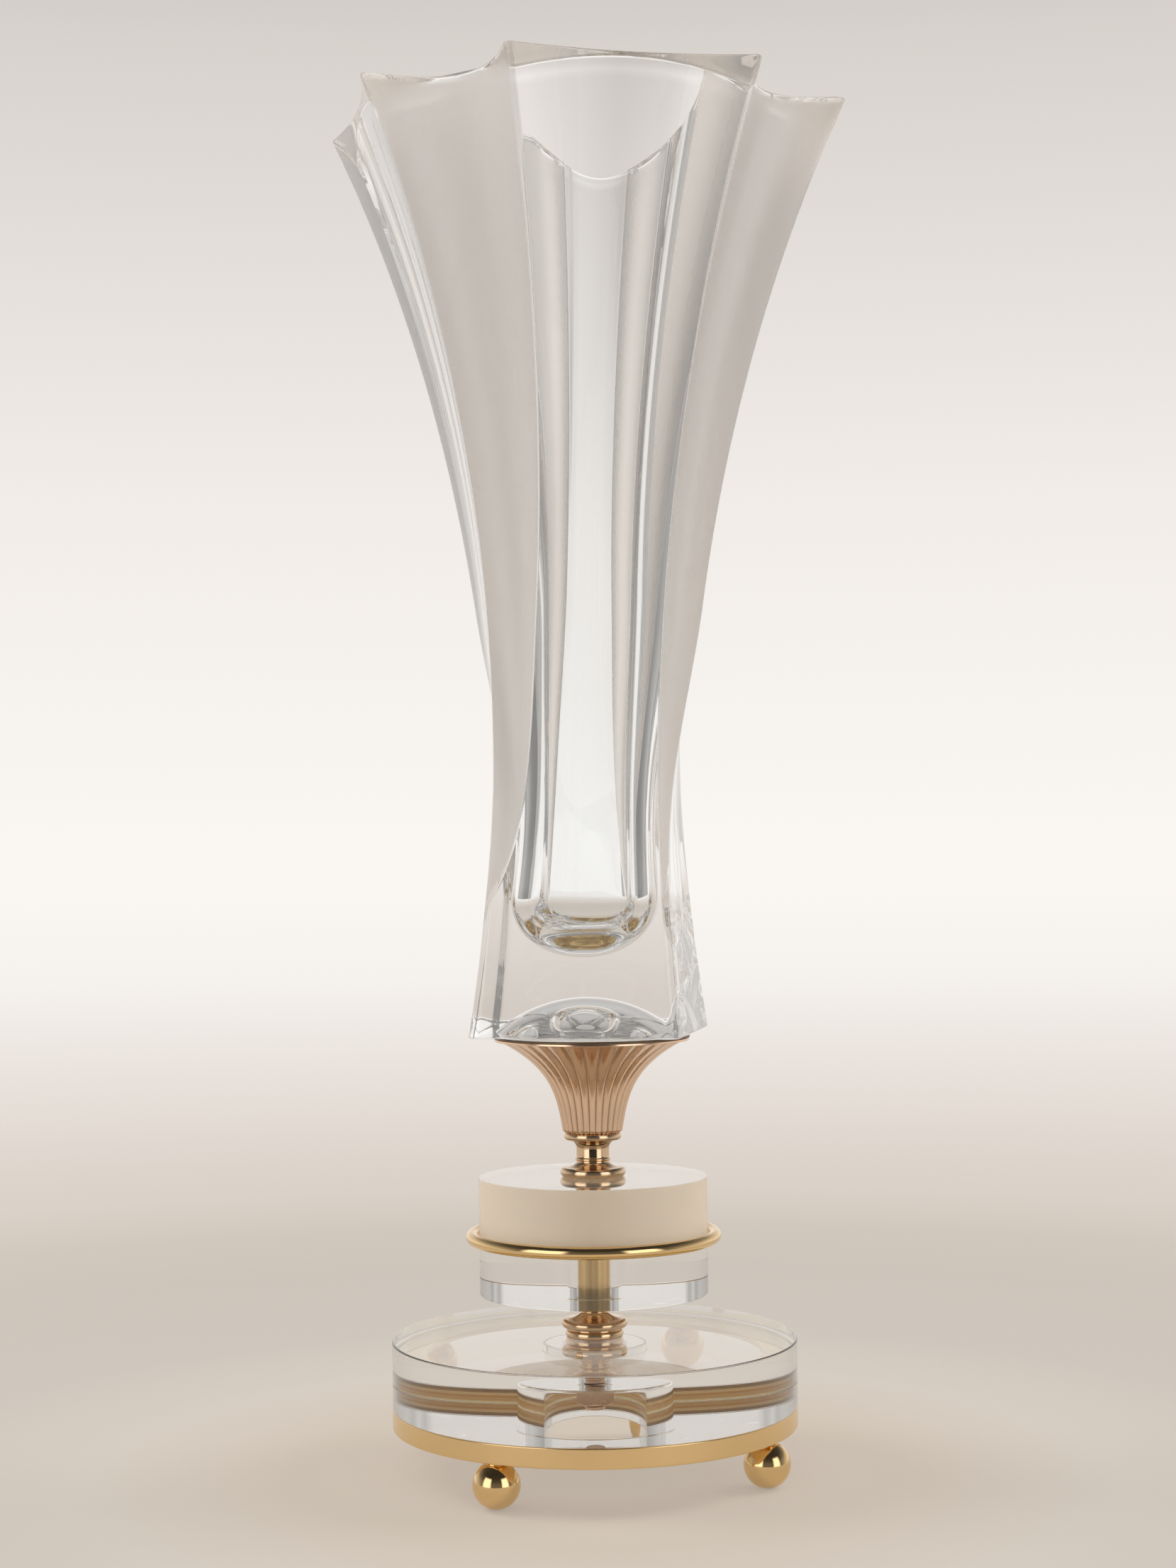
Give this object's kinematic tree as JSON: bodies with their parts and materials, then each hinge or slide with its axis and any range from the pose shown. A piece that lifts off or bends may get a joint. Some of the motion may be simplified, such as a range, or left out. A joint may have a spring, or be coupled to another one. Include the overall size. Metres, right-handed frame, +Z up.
{
  "type": "crystal and brass pedestal vase",
  "caption": "Flared star-mouthed crystal flower vase with a deep cavity, raised on a ribbed brass cup, clear and frosted discs and a brass-rimmed base on ball feet.",
  "frame": {"origin": "on the floor, at the axis of the turned pieces", "axes": "+Z up along the axis, -Y towards the front of the picture, +X to the right of the picture"},
  "size_m": [0.193, 0.193, 0.5],
  "materials": {
    "crystal": "clear polished crystal with satin-frosted flutes",
    "clear_crystal": "clear polished",
    "frosted_crystal": "frosted side, polished top",
    "polished_brass": "mirror polished and lacquered",
    "satin_brass": "soft satin",
    "zinc_steel": "zinc plated",
    "clear_silicone": "translucent"
  },
  "bodies": {
    "root": {"crystal_vase": "crystal", "seat_pad": "clear_silicone", "cup_plate": "satin_brass", "ribbed_cup": "satin_brass", "cup_washer": "satin_brass", "cup_nut": "satin_brass", "upper_collar": "polished_brass", "frosted_disc": "frosted_crystal", "disc_band": "polished_brass", "clear_disc": "clear_crystal", "rod_sleeve": "polished_brass", "lower_collar": "polished_brass", "tie_rod": "satin_brass", "base_disc": "clear_crystal", "base_bezel": "polished_brass", "base_washer": "satin_brass", "base_nut": "satin_brass", "ball_foot_front_right": "polished_brass", "foot_stud_front_right": "zinc_steel", "ball_foot_rear_right": "polished_brass", "foot_stud_rear_right": "zinc_steel", "ball_foot_rear_left": "polished_brass", "foot_stud_rear_left": "zinc_steel", "ball_foot_front_left": "polished_brass", "foot_stud_front_left": "zinc_steel"}
  },
  "joints": []
}
